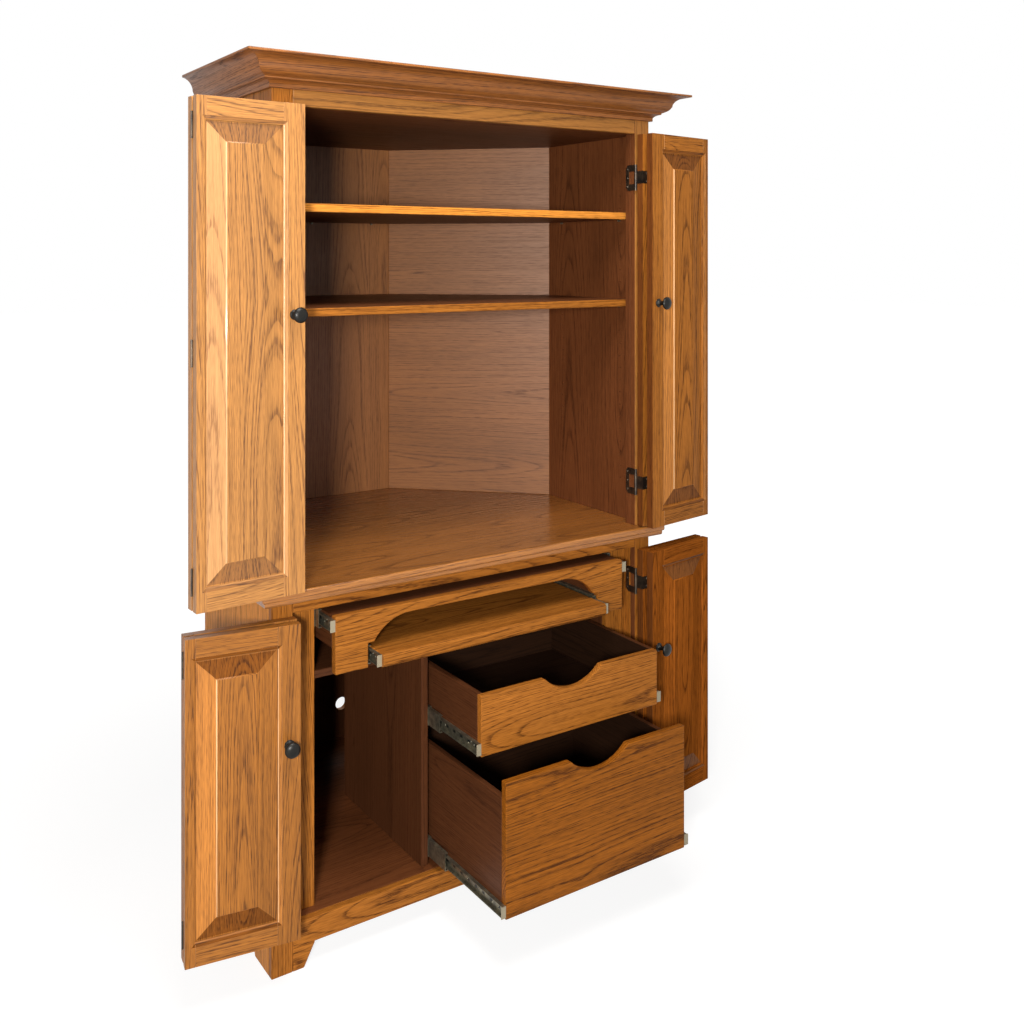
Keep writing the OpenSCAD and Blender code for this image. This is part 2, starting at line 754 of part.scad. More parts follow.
// A turned mushroom knob on the outer face of leaf B
module knob(right, open, fold, z) {
  x = leaf_b_x + leaf_w - leaf_wide / 2;
  r = knob_r;
  l = knob_out;
  color(bronze) place() side_of(right) swing_b(open, fold)
    translate([x, 0, z]) rotate([90, 0, 0]) rotate_extrude($fn = 48)
      polygon([
        [0, 0], [r * 0.68, 0], [r * 0.68, l * 0.05], [r * 0.5, l * 0.12], [r * 0.36, l * 0.24],
        [r * 0.32, l * 0.42], [r * 0.4, l * 0.56], [r * 0.68, l * 0.66], [r * 0.96, l * 0.72],
        [r, l * 0.77], [r * 0.95, l * 0.84], [r * 0.76, l * 0.92], [r * 0.44, l * 0.98], [0, l]
      ]);
}

module upper_left_leaf_a() { leaf_a(false, open_up_left, up_z, up_h); }
module upper_left_leaf_b() { leaf_b(false, open_up_left, fold_up_left, up_z, up_h); }
module upper_right_leaf_a() { leaf_a(true, open_other, up_z, up_h); }
module upper_right_leaf_b() { leaf_b(true, open_other, fold_other, up_z, up_h); }
module lower_left_leaf_a() { leaf_a(false, open_other, low_z, low_h); }
module lower_left_leaf_b() { leaf_b(false, open_other, fold_other, low_z, low_h); }
module lower_right_leaf_a() { leaf_a(true, open_other, low_z, low_h); }
module lower_right_leaf_b() { leaf_b(true, open_other, fold_other, low_z, low_h); }

module upper_left_hinges_a() { hinges_a(false, open_up_left, up_z, up_h, hinge_in_high); }
module upper_left_hinges_b() { hinges_b(false, open_up_left, fold_up_left, up_z, up_h); }
module upper_right_hinges_a() { hinges_a(true, open_other, up_z, up_h, hinge_in_high); }
module upper_right_hinges_b() { hinges_b(true, open_other, fold_other, up_z, up_h); }
module lower_left_hinges_a() { hinges_a(false, open_other, low_z, low_h, hinge_in_low); }
module lower_left_hinges_b() { hinges_b(false, open_other, fold_other, low_z, low_h); }
module lower_right_hinges_a() { hinges_a(true, open_other, low_z, low_h, hinge_in_low); }
module lower_right_hinges_b() { hinges_b(true, open_other, fold_other, low_z, low_h); }

module upper_left_knob() { knob(false, open_up_left, fold_up_left, knob_up_z); }
module upper_right_knob() { knob(true, open_other, fold_other, knob_up_z); }
module lower_left_knob() { knob(false, open_other, fold_other, knob_low_z); }
module lower_right_knob() { knob(true, open_other, fold_other, knob_low_z); }

// Drawers

module drawer_front(out, z, h) {
  y = filler_y - out;
  color(oak) place() difference() {
    block(box_l, box_r, y, y + front_t, z, z + h);
    translate([box_mid, y - 1, z + h - scoop_d + scoop_r]) rotate([-90, 0, 0])
      cylinder(r = scoop_r, h = front_t + 2, $fn = 128);
  }
}

// Two sides and a back, with a bottom let into grooves in the sides
module drawer_box(out, z, h) {
  y0 = filler_y - out + front_t;
  y1 = filler_y - out + slide_len;
  g = drawer_wall / 2;
  b = z + bottom_up;
  color(oak_dark) place() {
    difference() {
      block(box_l, box_l + drawer_wall, y0, y1, z, z + h);
      block(box_l + g, box_l + drawer_wall + 1, y0 - 1, y1 - drawer_wall, b, b + bottom_t);
    }
    difference() {
      block(box_r - drawer_wall, box_r, y0, y1, z, z + h);
      block(box_r - drawer_wall - 1, box_r - g, y0 - 1, y1 - drawer_wall, b, b + bottom_t);
    }
    block(box_l + drawer_wall + glue, box_r - drawer_wall - glue, y1 - drawer_wall, y1, z, z + h);
    block(box_l + g + glue, box_r - g - glue, y0, y1 - drawer_wall - glue,
          b + glue, b + bottom_t - glue);
  }
}

module upper_drawer_front() { drawer_front(upper_out, upper_z, upper_h); }
module upper_drawer_box() { drawer_box(upper_out, upper_z, upper_h); }
module file_drawer_front() { drawer_front(file_out, file_z, file_h); }
module file_drawer_box() { drawer_box(file_out, file_z, file_h - file_side_drop); }

// Keyboard pull-out

module pull_out_apron() color(oak) place() difference() {
  block(-apron_x, apron_x, pull_y, pull_y + apron_t, apron_z, apron_z + apron_h);
  block(-arch_x, arch_x, pull_y - 1, pull_y + apron_t + 1, apron_z - 1, arch_top);
  block(-leg_x, leg_x, pull_y - 1, pull_y + apron_t + 1, apron_z - 1, arch_low);
  intersection() {
    block(-leg_x, leg_x, pull_y - 1, pull_y + apron_t + 1, arch_low - 1, arch_top);
    both_sides() translate([arch_x, pull_y - 1, arch_top - arch_r]) rotate([-90, 0, 0])
      cylinder(r = arch_r, h = apron_t + 2, $fn = 128);
  }
}

module pull_out_frame() color(oak_dark) place() {
  y0 = pull_y + apron_t;
  y1 = y0 + pull_board_d - apron_t;
  block(-apron_x, apron_x, y0, y1, board_z, board_z + board_t);
  both_sides() {
    block(apron_x - board_t, apron_x, y0, y1, board_z - pull_side_h, board_z - glue);
    block(leg_x, leg_x + board_t, y0, y1, apron_z + 1, board_z - glue);
  }
}

module keyboard_tray() color(oak) place() {
  block(-tray_x, tray_x, tray_y + nosing_d + glue, tray_y + tray_d, tray_top - tray_t, tray_top);
  translate([-tray_x, tray_y, tray_z]) rotate([90, 0, 90]) linear_extrude(height = 2 * tray_x)
    round_front(nosing_d, nosing_h, nosing_r);
}

// A strip with its two front edges rounded
module round_front(d, h, r) {
  union() {
    translate([r, 0]) square([d - r, h]);
    translate([0, r]) square([d, h - 2 * r]);
    for (z = [r, h - r]) translate([r, z]) circle(r = r, $fn = 48);
  }
}

// Slides: each has a channel on the cabinet, a middle channel and a member on the box

// A channel that runs back from y, its web at x and its flanges reaching towards side
module channel(x, side, y, length, z, h, depth) {
  x1 = x + side * depth;
  w = x + side * slide_sheet;
  block(min(x, w), max(x, w), y, y + length, z - h / 2, z + h / 2);
  for (k = [z - h / 2, z + h / 2 - slide_sheet])
    block(min(w, x1), max(w, x1), y, y + length, k, k + slide_sheet);
}

// The channel fixed to the wall at x; side points from the wall to the box
module wall_member(x, side, y, length, z) {
  union() channel(x, side, y, length, z, slide_h, slide_t - 3 * slide_play);
}

module middle_member(x, side, y, length, z) {
  union() channel(x + side * (slide_sheet + slide_play), side, y, length, z,
                  slide_h - 2 * (slide_sheet + slide_play),
                  slide_t - 3 * slide_sheet - 2 * slide_play);
}

// The member on the box, with its front end bent across towards the wall
module box_member(x, side, y, length, z) {
  near = x + side * slide_play;
  far = x + side * slide_t;
  union() {
    channel(far, -side, y, length, z, slide_in_h, slide_t - 2 * slide_sheet - 2 * slide_play);
    block(min(near, far), max(near, far), y, y + slide_sheet,
          z - slide_in_h / 2, z + slide_in_h / 2);
  }
}

// Both slides of a box; kind 0 is the wall member, 1 the middle one, 2 the box member
module slide_pair(kind, left, right, y, length, z) {
  for (s = [[left, 1], [right, -1]]) {
    if (kind == 0) wall_member(s[0], s[1], y, length, z);
    if (kind == 1) middle_member(s[0], s[1], y, length, z);
    if (kind == 2) box_member(s[0], s[1], y, length, z);
  }
}

slide_y = filler_y + slide_sheet + slide_end_gap;

module cabinet_slides() color(zinc) place() {
  slide_pair(0, -divider_x, filler_x, slide_y, slide_len - slide_short, upper_slide_z);
  slide_pair(0, -divider_x, filler_x, slide_y, slide_len - slide_short, file_slide_z);
  slide_pair(0, -filler_x, filler_x, slide_y, pull_slide_len - pull_short, pull_slide_z);
}

module upper_drawer_middle() color(zinc) place()
  slide_pair(1, -divider_x, filler_x, slide_y - upper_out * middle_share,
             slide_len - slide_short, upper_slide_z);

module file_drawer_middle() color(zinc) place()
  slide_pair(1, -divider_x, filler_x, slide_y - file_out * middle_share,
             slide_len - slide_short, file_slide_z);

module pull_out_middle() color(zinc) place()
  slide_pair(1, -filler_x, filler_x, slide_y - pull_out * middle_share,
             pull_slide_len - pull_short, pull_slide_z);

module tray_middle() color(zinc) place()
  slide_pair(1, -leg_x, leg_x, pull_y + apron_t - tray_out * middle_share, tray_slide_len - pull_short,
             tray_slide_z);

module upper_drawer_members() color(zinc) place()
  slide_pair(2, -divider_x, filler_x, filler_y - upper_out, slide_len, upper_slide_z);

module file_drawer_members() color(zinc) place()
  slide_pair(2, -divider_x, filler_x, filler_y - file_out, slide_len, file_slide_z);

// The pull-out carries its own inner members and the wall members of the tray
module pull_out_members() color(zinc) place() {
  slide_pair(2, -filler_x, filler_x, pull_y, pull_slide_len, pull_slide_z);
  slide_pair(0, -leg_x, leg_x, pull_y + apron_t, tray_slide_len - pull_short, tray_slide_z);
}

module tray_members() color(zinc) place()
  slide_pair(2, -leg_x, leg_x, tray_y + nosing_r, tray_slide_len - nosing_r, tray_slide_z);

base_face_frame();
base_sides();
base_corner_walls();
base_back();
base_floor();
base_feet();
base_fillers();
base_partitions();
base_divider();
bay_shelf();
desk_top();
hutch_face_frame();
hutch_sides();
hutch_corner_walls();
hutch_back();
hutch_ceiling();
hutch_cleats();
crown();
upper_shelf();
lower_shelf();
shelf_pins();
frame_hinges();
upper_left_leaf_a();
upper_left_leaf_b();
upper_right_leaf_a();
upper_right_leaf_b();
lower_left_leaf_a();
lower_left_leaf_b();
lower_right_leaf_a();
lower_right_leaf_b();
upper_left_hinges_a();
upper_left_hinges_b();
upper_right_hinges_a();
upper_right_hinges_b();
lower_left_hinges_a();
lower_left_hinges_b();
lower_right_hinges_a();
lower_right_hinges_b();
upper_left_knob();
upper_right_knob();
lower_left_knob();
lower_right_knob();
upper_drawer_front();
upper_drawer_box();
file_drawer_front();
file_drawer_box();
pull_out_apron();
pull_out_frame();
keyboard_tray();
cabinet_slides();
upper_drawer_middle();
file_drawer_middle();
pull_out_middle();
tray_middle();
upper_drawer_members();
file_drawer_members();
pull_out_members();
tray_members();
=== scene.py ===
"""A corner computer armoire in stained oak, with its doors folded back and its drawers out."""

import json
import math
import random

import bmesh
import bpy
from mathutils import Matrix, Vector

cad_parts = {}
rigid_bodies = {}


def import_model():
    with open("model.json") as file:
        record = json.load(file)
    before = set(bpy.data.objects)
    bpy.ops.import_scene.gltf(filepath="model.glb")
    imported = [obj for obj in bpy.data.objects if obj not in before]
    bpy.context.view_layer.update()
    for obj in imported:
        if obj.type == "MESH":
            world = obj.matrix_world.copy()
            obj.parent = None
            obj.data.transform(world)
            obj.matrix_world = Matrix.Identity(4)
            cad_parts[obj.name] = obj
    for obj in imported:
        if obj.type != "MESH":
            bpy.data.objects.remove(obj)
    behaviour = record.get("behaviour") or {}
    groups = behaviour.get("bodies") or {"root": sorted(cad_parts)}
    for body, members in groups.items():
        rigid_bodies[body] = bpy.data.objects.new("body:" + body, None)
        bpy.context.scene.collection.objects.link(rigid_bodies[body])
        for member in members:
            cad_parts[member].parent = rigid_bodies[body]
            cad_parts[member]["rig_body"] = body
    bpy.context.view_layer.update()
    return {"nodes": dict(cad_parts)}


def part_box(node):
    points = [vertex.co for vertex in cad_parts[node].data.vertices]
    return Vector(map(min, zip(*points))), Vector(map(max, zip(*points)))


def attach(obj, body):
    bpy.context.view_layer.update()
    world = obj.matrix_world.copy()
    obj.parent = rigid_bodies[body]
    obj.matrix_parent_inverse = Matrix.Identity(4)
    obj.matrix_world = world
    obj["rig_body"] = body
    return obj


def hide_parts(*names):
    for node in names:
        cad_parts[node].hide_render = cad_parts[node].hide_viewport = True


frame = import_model()


# The room: a plain pale floor that takes the armoire's shadow, in a white surround. One small
# lamp beside the camera gives the shadows, and three large ones soften them.


def add(tree, kind, values=(), **settings):
    """A node with its settings. A value goes into its socket, or is an output linked to it."""
    node = tree.nodes.new(kind)
    for key, value in settings.items():
        setattr(node, key, value)
    for key, value in dict(values).items():
        if isinstance(value, bpy.types.NodeSocket):
            tree.links.new(value, node.inputs[key])
        else:
            node.inputs[key].default_value = value
    return node


def show(name, data):
    ob = bpy.data.objects.new(name, data)
    bpy.context.scene.collection.objects.link(ob)
    return ob


def lamp(name, place, aim, width, watts):
    light = bpy.data.lights.new(name, "AREA")
    light.size = width
    light.energy = watts
    light.color = (1.0, 0.97, 0.93)
    ob = show(name, light)
    ob.location = place
    ob.rotation_euler = (Vector(aim) - Vector(place)).to_track_quat("-Z", "Y").to_euler()


eye = bpy.data.cameras.new("eye")
eye.sensor_width = 36.0
eye.lens = 38.39
eye.shift_y = -0.25
camera = show("camera", eye)
camera.location = (-1.4496, -2.555, 1.592)
camera.rotation_euler = (math.radians(90), 0, math.radians(-34))
bpy.context.scene.camera = camera
bpy.context.scene.view_settings.view_transform = "Standard"

lamp("key lamp", (-2.05, -2.95, 1.6), (0, 0, 1.0), 0.35, 120)
lamp("top lamp", (-0.5, -1.3, 3.3), (0, -0.45, 0.8), 1.2, 52)
lamp("fill lamp", (1.6, -4.6, 2.2), (0, 0, 1.0), 2.4, 8)
lamp("back lamp", (0.8, 3.2, 3.0), (0, 0, 1.2), 2.5, 45)


def watched(tree):
    """1 where a ray comes from the camera, straight, by reflection or through glass."""
    path = add(tree, "ShaderNodeLightPath").outputs
    seen = path["Is Camera Ray"]
    for other in ("Is Glossy Ray", "Is Transmission Ray"):
        seen = add(tree, "ShaderNodeMath", {0: seen, 1: path[other]},
                   operation="MAXIMUM").outputs[0]
    return seen


world = bpy.data.worlds.new("surround")
bpy.context.scene.world = world
world.use_nodes = True
sky = world.node_tree
sky.nodes.clear()
ambient = add(sky, "ShaderNodeBackground", {"Color": (0.95, 0.97, 1.0, 1), "Strength": 0.05})
white = add(sky, "ShaderNodeBackground", {"Color": (1, 1, 1, 1), "Strength": 1.0})
both = add(sky, "ShaderNodeMixShader", {
    0: watched(sky), 1: ambient.outputs[0], 2: white.outputs[0]})
add(sky, "ShaderNodeOutputWorld", {"Surface": both.outputs[0]})

half_floor = 30
floor_mesh = bpy.data.meshes.new("floor")
floor_mesh.from_pydata(
    [(x * half_floor, y * half_floor, 0) for x, y in ((-1, -1), (1, -1), (1, 1), (-1, 1))],
    [], [(0, 1, 2, 3)])
floor = show("floor", floor_mesh)
pale = bpy.data.materials.new("pale floor")
pale.use_nodes = True
tree = pale.node_tree
tree.nodes.clear()
place = add(tree, "ShaderNodeTexCoord").outputs["Object"]
away = add(tree, "ShaderNodeVectorMath", {0: place}, operation="LENGTH").outputs["Value"]
# From 0.9 m to 2.8 m out, the floor brightens into the white surround
away = add(tree, "ShaderNodeMapRange", {0: away, 1: 0.9, 2: 2.8, 3: 0.84, 4: 1.0}).outputs[0]
glow = add(tree, "ShaderNodeEmission", {"Color": (1, 1, 1, 1), "Strength": away})
soft = add(tree, "ShaderNodeBsdfDiffuse", {"Color": (0.24, 0.24, 0.24, 1)})
lit = add(tree, "ShaderNodeAddShader", {0: soft.outputs[0], 1: glow.outputs[0]})
shade = add(tree, "ShaderNodeBsdfDiffuse", {"Color": (0.55, 0.54, 0.53, 1)})
mixed = add(tree, "ShaderNodeMixShader", {
    0: watched(tree), 1: shade.outputs[0], 2: lit.outputs[0]})
add(tree, "ShaderNodeOutputMaterial", {"Surface": mixed.outputs[0]})
floor_mesh.materials.append(pale)


# Base face frame: two stiles that run down to the floor as feet, with a rail under the
# lower doors and one under the desk top. Flat-sawn red oak in a honey stain, edges eased.


def calc(tree, operation, a, b=0.0, c=0.0):
    return add(tree, "ShaderNodeMath", {0: a, 1: b, 2: c}, operation=operation).outputs[0]


def mapped(tree, value, low, high):
    """0 at low, 1 at high and in between on a straight line."""
    return add(tree, "ShaderNodeMapRange", {0: value, 1: low, 2: high}).outputs[0]


def mixed_colour(tree, factor, first, second):
    return add(tree, "ShaderNodeMix", {"Factor": factor, 6: first, 7: second},
               data_type="RGBA").outputs[2]


def scaled(tree, vector, *by):
    return add(tree, "ShaderNodeVectorMath", {0: vector, 1: by}, operation="MULTIPLY").outputs[0]


def noise(tree, vector, scale=1.0, detail=2.0, rough=0.5):
    return add(tree, "ShaderNodeTexNoise", {
        "Vector": vector, "Scale": scale, "Detail": detail, "Roughness": rough}).outputs[0]


def noise_line(tree, value, scale, detail):
    return add(tree, "ShaderNodeTexNoise", {"W": value, "Scale": scale, "Detail": detail},
               noise_dimensions="1D").outputs[0]


# Growth rings cut by a flat board: x runs along the board, y across it, z through it
oak = bpy.data.node_groups.new("oak grain", "ShaderNodeTree")
for name, kind, value in (
    ("Grain", "NodeSocketVector", (0, 0, 0)),
    ("Ring Width", "NodeSocketFloat", 0.005),
    ("Strip Width", "NodeSocketFloat", 0.125),
    ("Light Wood", "NodeSocketColor", (0.5, 0.2, 0.05, 1)),
    ("Dark Wood", "NodeSocketColor", (0.15, 0.05, 0.01, 1)),
    ("Contrast", "NodeSocketFloat", 1.0),
):
    oak.interface.new_socket(name, in_out="INPUT", socket_type=kind).default_value = value
for name, kind in (("Color", "NodeSocketColor"), ("Pores", "NodeSocketFloat"),
                   ("Dull", "NodeSocketFloat")):
    oak.interface.new_socket(name, in_out="OUTPUT", socket_type=kind)
put = add(oak, "NodeGroupInput").outputs
grain = put["Grain"]
way = add(oak, "ShaderNodeSeparateXYZ", {0: grain}).outputs

# Each glued strip has its own luck: how far off the heart it was cut, where and how dark
strip = calc(oak, "FLOOR", calc(oak, "DIVIDE", way[1], put["Strip Width"]))
luck = add(oak, "ShaderNodeCombineXYZ", {0: strip, 1: 0.5}).outputs[0]
luck = add(oak, "ShaderNodeTexWhiteNoise", {"Vector": luck}, noise_dimensions="3D").outputs["Color"]
luck = add(oak, "ShaderNodeSeparateColor", {0: luck}).outputs
middle = calc(oak, "MULTIPLY", calc(oak, "ADD", strip, 0.5), put["Strip Width"])
across = calc(oak, "SUBTRACT", way[1], middle)
across = calc(oak, "MULTIPLY_ADD", calc(oak, "SUBTRACT", luck[0], 0.5), 0.09, across)

# The cut climbs slowly through the rings along the board, which draws the long arches
slope = calc(oak, "MULTIPLY_ADD", luck[1], 0.5, calc(oak, "MULTIPLY", way[0], 0.024))
slow = noise_line(oak, calc(oak, "MULTIPLY_ADD", luck[1], 50.0, way[0]), 2.0, 0.0)
depth = calc(oak, "MULTIPLY_ADD", slow, 0.012, 0.012)
depth = calc(oak, "ADD", calc(oak, "PINGPONG", slope, 0.12), depth)
depth = calc(oak, "ADD", depth, way[2])
radius = calc(oak, "SQRT", calc(oak, "ADD", calc(oak, "MULTIPLY", across, across),
                                calc(oak, "MULTIPLY", depth, depth)))
wander = noise(oak, scaled(oak, grain, 1.4, 8, 8), 1.0, 1.0)
radius = calc(oak, "MULTIPLY_ADD", wander, 0.011, radius)
ripple = noise(oak, scaled(oak, grain, 7, 60, 60), 1.0, 1.0)
radius = calc(oak, "MULTIPLY_ADD", ripple, 0.001, radius)
rings = calc(oak, "DIVIDE", radius, put["Ring Width"])
rings = calc(oak, "FRACT", calc(oak, "MULTIPLY_ADD", noise_line(oak, rings, 0.7, 1.0), 1.6, rings))

# A ring starts with porous, dark early wood and fades into smooth late wood
early = add(oak, "ShaderNodeValToRGB", {0: rings})
band = early.color_ramp
band.elements[0].position, band.elements[1].position = 0.0, 1.0
for end in band.elements:
    end.color = (1, 1, 1, 1)
for place, level in ((0.12, 0.85), (0.28, 0.32), (0.55, 0.06), (0.93, 0.18)):
    band.elements.new(place).color = (level, level, level, 1)
early = early.outputs[0]
pores = mapped(oak, noise(oak, scaled(oak, grain, 45, 800, 800), 1.0, 0.0), 0.46, 0.62)
streak = mapped(oak, noise(oak, scaled(oak, grain, 11, 420, 420), 1.0, 2.0, 0.6), 0.36, 0.66)
fibre = noise(oak, scaled(oak, grain, 5, 240, 240), 1.0, 3.0, 0.7)
line = calc(oak, "MULTIPLY", early, calc(oak, "MULTIPLY_ADD", streak, 0.6, 0.4))
shade = calc(oak, "MULTIPLY_ADD", pores, calc(oak, "MULTIPLY_ADD", early, 0.3, 0.16),
             calc(oak, "MULTIPLY", line, 0.6))
shade = calc(oak, "MULTIPLY_ADD", streak, 0.2, shade)
shade = calc(oak, "MULTIPLY_ADD", calc(oak, "SUBTRACT", fibre, 0.45), 0.7, shade)
shade = add(oak, "ShaderNodeClamp", {0: calc(oak, "MULTIPLY", shade, put["Contrast"])}).outputs[0]
tone = noise(oak, scaled(oak, grain, 1.6, 9, 9), 1.0, 2.0)
tone = calc(oak, "ADD", calc(oak, "MULTIPLY_ADD", tone, 0.5, 0.72),
            calc(oak, "MULTIPLY", luck[2], 0.14))
stain = mixed_colour(oak, shade, put["Light Wood"], put["Dark Wood"])
stain = add(oak, "ShaderNodeVectorMath", {0: stain, 3: tone}, operation="SCALE").outputs[0]
dull = calc(oak, "MULTIPLY_ADD", shade, 0.16, calc(oak, "MULTIPLY", fibre, 0.12))
add(oak, "NodeGroupOutput", {
    "Color": stain, "Pores": calc(oak, "MULTIPLY", pores, early), "Dull": dull})


def stained_oak(name, light, dark, contrast=1.0, ring=0.005, strips=0.125, rough=0.34, coat=0.0,
                shine=0.12):
    """Oak with the stain's colours on late and early wood. Rings and glued strips are in metres."""
    wood = bpy.data.materials.new(name)
    wood.use_nodes = True
    tree = wood.node_tree
    tree.nodes.clear()
    grain = add(tree, "ShaderNodeAttribute", attribute_name="grain").outputs["Vector"]
    board = add(tree, "ShaderNodeGroup", node_tree=oak)
    tree.links.new(grain, board.inputs["Grain"])
    for key, value in (("Ring Width", ring), ("Strip Width", strips), ("Light Wood", (*light, 1)),
                       ("Dark Wood", (*dark, 1)), ("Contrast", contrast)):
        board.inputs[key].default_value = value
    bump = add(tree, "ShaderNodeBump", {
        "Strength": 0.35, "Distance": 0.0003,
        "Height": calc(tree, "SUBTRACT", 1.0, board.outputs["Pores"])})
    skin = add(tree, "ShaderNodeBsdfPrincipled", {
        "Base Color": board.outputs["Color"],
        "Roughness": calc(tree, "ADD", board.outputs["Dull"], rough),
        "Specular IOR Level": shine, "Coat Weight": coat, "Coat Roughness": 0.16,
        "Normal": bump.outputs[0]})
    add(tree, "ShaderNodeOutputMaterial", {"Surface": skin.outputs[0]})
    return wood


def parts_of(bm):
    """The points of each separate board, the boards in order of their lowest x, y and z."""
    seen = set()
    parts = []
    for start in bm.verts:
        if start in seen:
            continue
        seen.add(start)
        found = [start]
        for v in found:
            for e in v.link_edges:
                w = e.other_vert(v)
                if w not in seen:
                    seen.add(w)
                    found.append(w)
        parts.append(found)
    return sorted(parts, key=lambda part: min(tuple(v.co) for v in part))


def ease_edges(bm, ease, steps):
    """Round every outer edge that is sharper than a moulding's facets and long enough."""
    least_turn, shortest = math.radians(36), 2.6 * ease
    for part in parts_of(bm):
        edges = {e for v in part for e in v.link_edges}
        sharp = [e for e in edges if len(e.link_faces) == 2 and e.is_convex
                 and e.calc_face_angle(0) > least_turn and e.calc_length() > shortest]
        if sharp:
            bmesh.ops.bevel(bm, geom=sharp, offset=ease, offset_type="OFFSET", segments=steps,
                            profile=0.5, affect="EDGES", clamp_overlap=True)


def step_fields(bm, drop):
    """Cut a step round the flat field of a raised panel, where its bevels meet the field."""
    least_area, least_lean, most_lean = 0.01, 0.08, 0.28  # in square metres and radians
    fields = [f for f in bm.faces if f.calc_area() > least_area and all(
        e.is_convex and least_lean < e.calc_face_angle(0) < most_lean for e in f.edges)]
    for face in fields:
        rim = list(face.verts)
        bmesh.ops.inset_individual(bm, faces=[face], thickness=drop, use_even_offset=True)
        for v in rim:
            v.co -= face.normal * drop


def grain_of(bm, node, run):
    """Each point's place in its board: along the grain, across it and through it."""
    grain = [(0, 0, 0)] * len(bm.verts)
    for number, part in enumerate(parts_of(bm)):
        luck = random.Random(f"{node} {number}")
        middle = sum((v.co for v in part), Vector()) / len(part)
        xx = sum((v.co.x - middle.x) ** 2 for v in part)
        yy = sum((v.co.y - middle.y) ** 2 for v in part)
        xy = sum((v.co.x - middle.x) * (v.co.y - middle.y) for v in part)
        turn = 0.5 * math.atan2(2 * xy, xx - yy)
        ways = [Vector((math.cos(turn), math.sin(turn), 0)),
                Vector((-math.sin(turn), math.cos(turn), 0)), Vector((0, 0, 1))]
        spans = [max(v.co.dot(w) for v in part) - min(v.co.dot(w) for v in part) for w in ways]
        order = sorted(range(3), key=lambda i: -spans[i])
        if run == "up":
            order = [2] + [i for i in order if i != 2]
        if run == "level":
            first, last = [i for i in order if i != 2]
            order = [first] + sorted([2, last], key=lambda i: -spans[i])
        start = Vector((luck.uniform(-9, 9), luck.uniform(-9, 9), luck.uniform(-0.03, 0.03)))
        for v in part:
            off = v.co - middle
            grain[v.index] = [start[k] + off.dot(ways[order[k]]) for k in range(3)]
    return grain


def slim(face):
    """Whether a face is a strip under 6.4 mm wide, like the facets of mouldings and edges."""
    return 2 * face.calc_area() / face.calc_perimeter() < 0.0064


def boards(node, wood, ease=0.0015, run="", steps=2, smooth=0.0, field=0.0):
    """The boards of one CAD node with eased edges, each with its grain along its own length,
    unless run sends it up or level. Facets that turn less than smooth degrees shade as one."""
    source = frame["nodes"][node]
    weld, flat = 2e-5, math.radians(0.6)
    bm = bmesh.new()
    bm.from_mesh(source.data)
    bmesh.ops.remove_doubles(bm, verts=bm.verts[:], dist=weld)
    bmesh.ops.dissolve_limit(bm, angle_limit=flat, verts=bm.verts[:], edges=bm.edges[:])
    ease_edges(bm, ease, steps)
    if field:
        step_fields(bm, field)
    # A bevel leaves points and faces in chance order, so they are put in order of their place
    for items, place in ((bm.verts, lambda v: tuple(v.co)),
                         (bm.faces, lambda f: tuple(f.calc_center_median()))):
        rank = {item: k for k, item in enumerate(sorted(items, key=place))}
        items.sort(key=rank.get)
    bm.verts.index_update()
    grain = grain_of(bm, node, run)
    for f in bm.faces:
        f.smooth = bool(smooth)
    for e in bm.edges:
        e.smooth = (len(e.link_faces) == 2 and e.calc_face_angle(0) < math.radians(smooth)
                    and all(slim(f) for f in e.link_faces))
    mesh = bpy.data.meshes.new(node)
    bm.to_mesh(mesh)
    bm.free()
    layer = mesh.attributes.new("grain", "FLOAT_VECTOR", "POINT")
    layer.data.foreach_set("vector", [c for g in grain for c in g])
    mesh.materials.append(wood)
    ob = show("oak_" + node, mesh)
    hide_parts(node)
    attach(ob, source["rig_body"])
    return ob


def paint(ob, wood, rule):
    """Another wood on the faces that the rule picks, by their centre and the way they face."""
    ob.data.materials.append(wood)
    for face in ob.data.polygons:
        if rule(face.center, face.normal):
            face.material_index = len(ob.data.materials) - 1
    return ob


def right_reveal(at, way):
    """The edge of the right stile that faces the opening, which is stained like the inside."""
    return way.x < -0.9 and 0.4 < at.x < 0.51


fine = {"contrast": 1.12, "ring": 0.0039}
veneer = {"strips": 0.2}
honey = stained_oak("honey oak", (0.44, 0.155, 0.022), (0.090, 0.026, 0.004), **fine)
inner = stained_oak("inner oak", (0.175, 0.056, 0.018), (0.062, 0.018, 0.006), **veneer)
paint(boards("base_face_frame", honey, ease=0.002), inner, right_reveal)
boards("base_feet", honey, ease=0.002, run="level")


# Base case: sides, corner walls, back and floor. Oak-veneered boards, stained darker and
# redder inside than the face frame, with the grain upright in the sides and the back.


def facing(x=0, y=0, z=0, least=0.9):
    """A rule for paint: the faces that look along the given direction."""
    aim = Vector((x, y, z))
    return lambda at, way: way.dot(aim) > least


dark = stained_oak("dark inner oak", (0.100, 0.034, 0.0125), (0.045, 0.014, 0.005), **veneer)
# The base sides are painted lighter than the stain, a painted light for the lamp light that falls
# on them from the left. The upper shelf's front edge takes this wood too.
painted_light_side = stained_oak("base side oak, painted light", (0.78, 0.30, 0.045), (0.26, 0.085, 0.013), shine=0.08)
boards("base_sides", painted_light_side, run="up")
paint(boards("base_corner_walls", honey, run="level"), dark, facing(y=-1, least=0.3))
paint(boards("base_back", honey, run="up", ease=0.001), dark, facing(y=-1))
boards("base_floor", inner, run="level")


# Base inside: fillers beside the door opening, two partitions, the divider between the
# tower bay and the drawers, and the shelf over the drawers.

boards("base_fillers", honey)
boards("base_partitions", dark, run="up")
boards("base_divider", dark, run="up")
boards("bay_shelf", dark)
